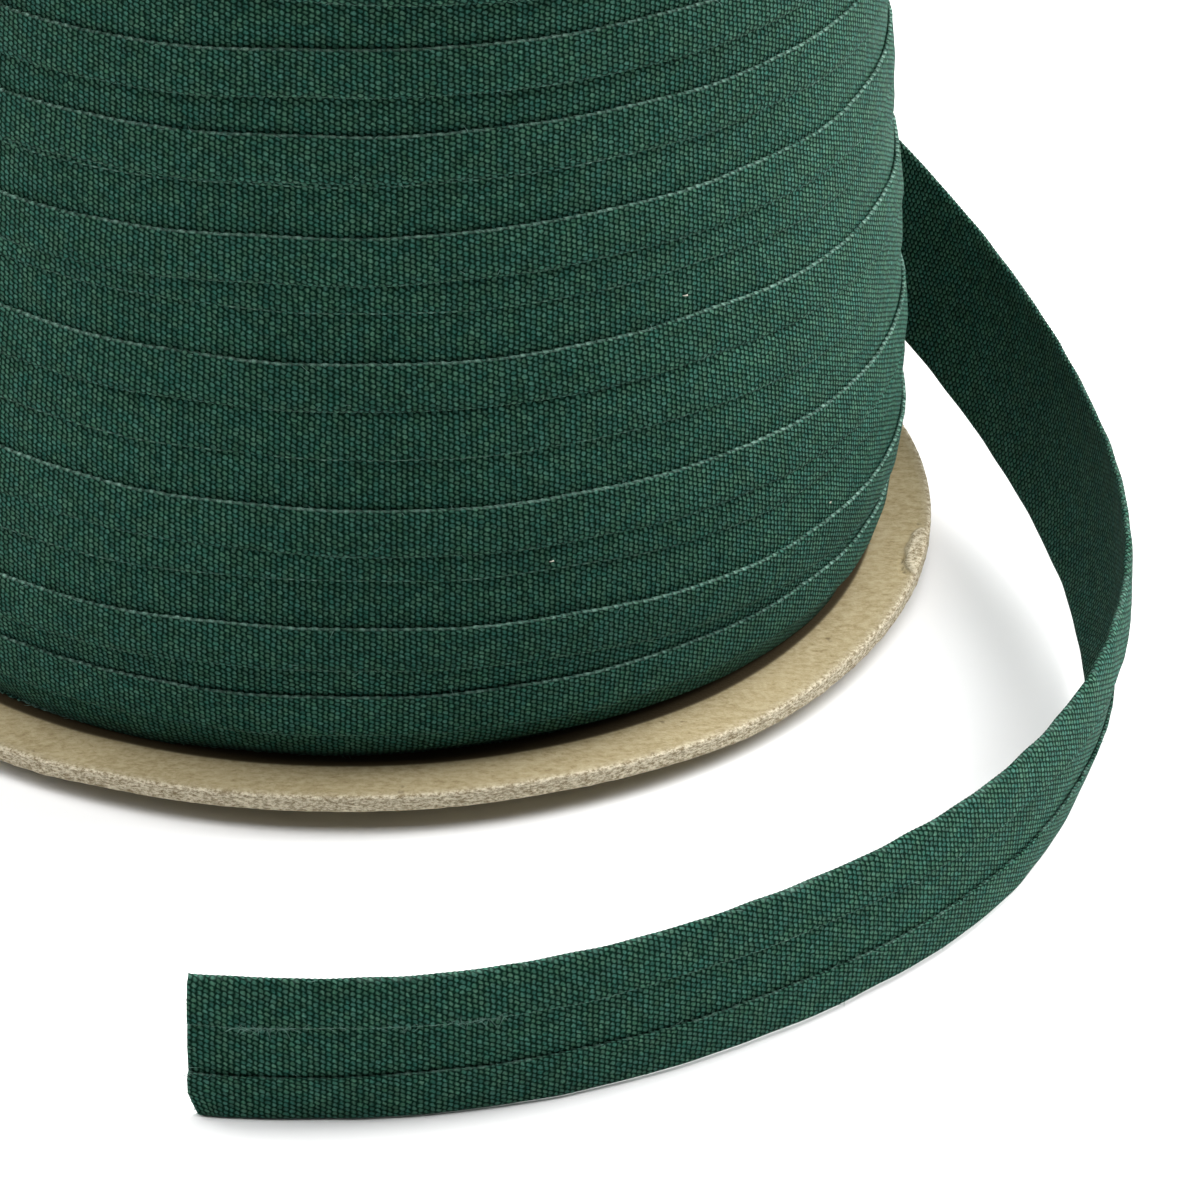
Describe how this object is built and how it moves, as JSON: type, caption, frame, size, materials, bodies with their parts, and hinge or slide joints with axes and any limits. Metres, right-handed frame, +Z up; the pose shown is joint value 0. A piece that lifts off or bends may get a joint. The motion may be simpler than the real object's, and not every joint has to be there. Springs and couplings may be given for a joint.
{
  "type": "roll of binding tape on a flanged spool",
  "caption": "Folded canvas binding tape wound in overlapping turns on a flanged board spool, its loose end coming down behind and standing on edge round the front.",
  "frame": {"origin": "centre of the foot under the bottom flange, on the surface that the spool stands on", "axes": "+Z up along the spool's axis, -Y towards the front, where the loose end's cut end lies"},
  "size_m": [0.1754, 0.2184, 0.1344],
  "materials": {
    "tape": "matte plain-weave acrylic canvas, forest green",
    "board": "uncoated grey-brown chipboard"
  },
  "bodies": {
    "root": {"flange_bottom": "board", "wound_tape": "tape", "flange_top": "board", "loose_tape": "tape"}
  },
  "joints": []
}
